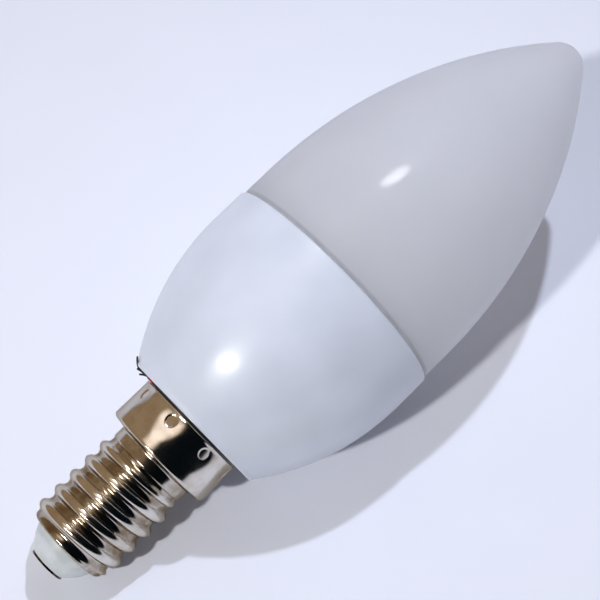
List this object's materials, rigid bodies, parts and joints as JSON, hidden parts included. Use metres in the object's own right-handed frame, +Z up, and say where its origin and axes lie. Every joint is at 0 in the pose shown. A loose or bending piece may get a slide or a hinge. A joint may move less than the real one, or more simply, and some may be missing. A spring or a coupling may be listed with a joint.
{
  "type": "candle bulb",
  "caption": "LED candle bulb: frosted pointed cover on a white moulded housing, with a staked screw cap, insulator and centre contact, and a frayed lead end at the cap's rim.",
  "frame": {"origin": "on the table, under the middle of the bulb as it lies at rest", "axes": "+X along the table from the cap to the tip, +Y across the bulb, +Z up; the bulb's own axis rises 16.2 degrees towards the tip, because it rests on its thread and its housing"},
  "size_m": [0.1014, 0.0368, 0.0421],
  "materials": {
    "frosted_cover": "frosted, milky and translucent, with a satin gloss",
    "white_housing": "smooth moulded white, semi-gloss",
    "plated_cap": "bright nickel plate, slightly warm and smudged",
    "cap_insulator": "pale greenish moulding, semi-gloss",
    "contact_metal": "bare metal, dulled by handling",
    "board_metal": "white solder mask on aluminium",
    "light_chip": "yellow phosphor in a pale frame",
    "red_sleeve": "soft red insulation, semi-gloss",
    "lead_wire": "tinned strands, dulled and frayed"
  },
  "bodies": {
    "root": {"cover": "frosted_cover", "housing": "white_housing", "cap_shell": "plated_cap", "insulator": "cap_insulator", "centre_contact": "contact_metal", "light_board": "board_metal", "lead_sleeve": "red_sleeve", "lead_strands": "lead_wire", "light_chip_1": "light_chip", "light_chip_2": "light_chip", "light_chip_3": "light_chip", "light_chip_4": "light_chip", "light_chip_5": "light_chip", "light_chip_6": "light_chip", "light_chip_7": "light_chip", "light_chip_8": "light_chip"}
  },
  "joints": []
}
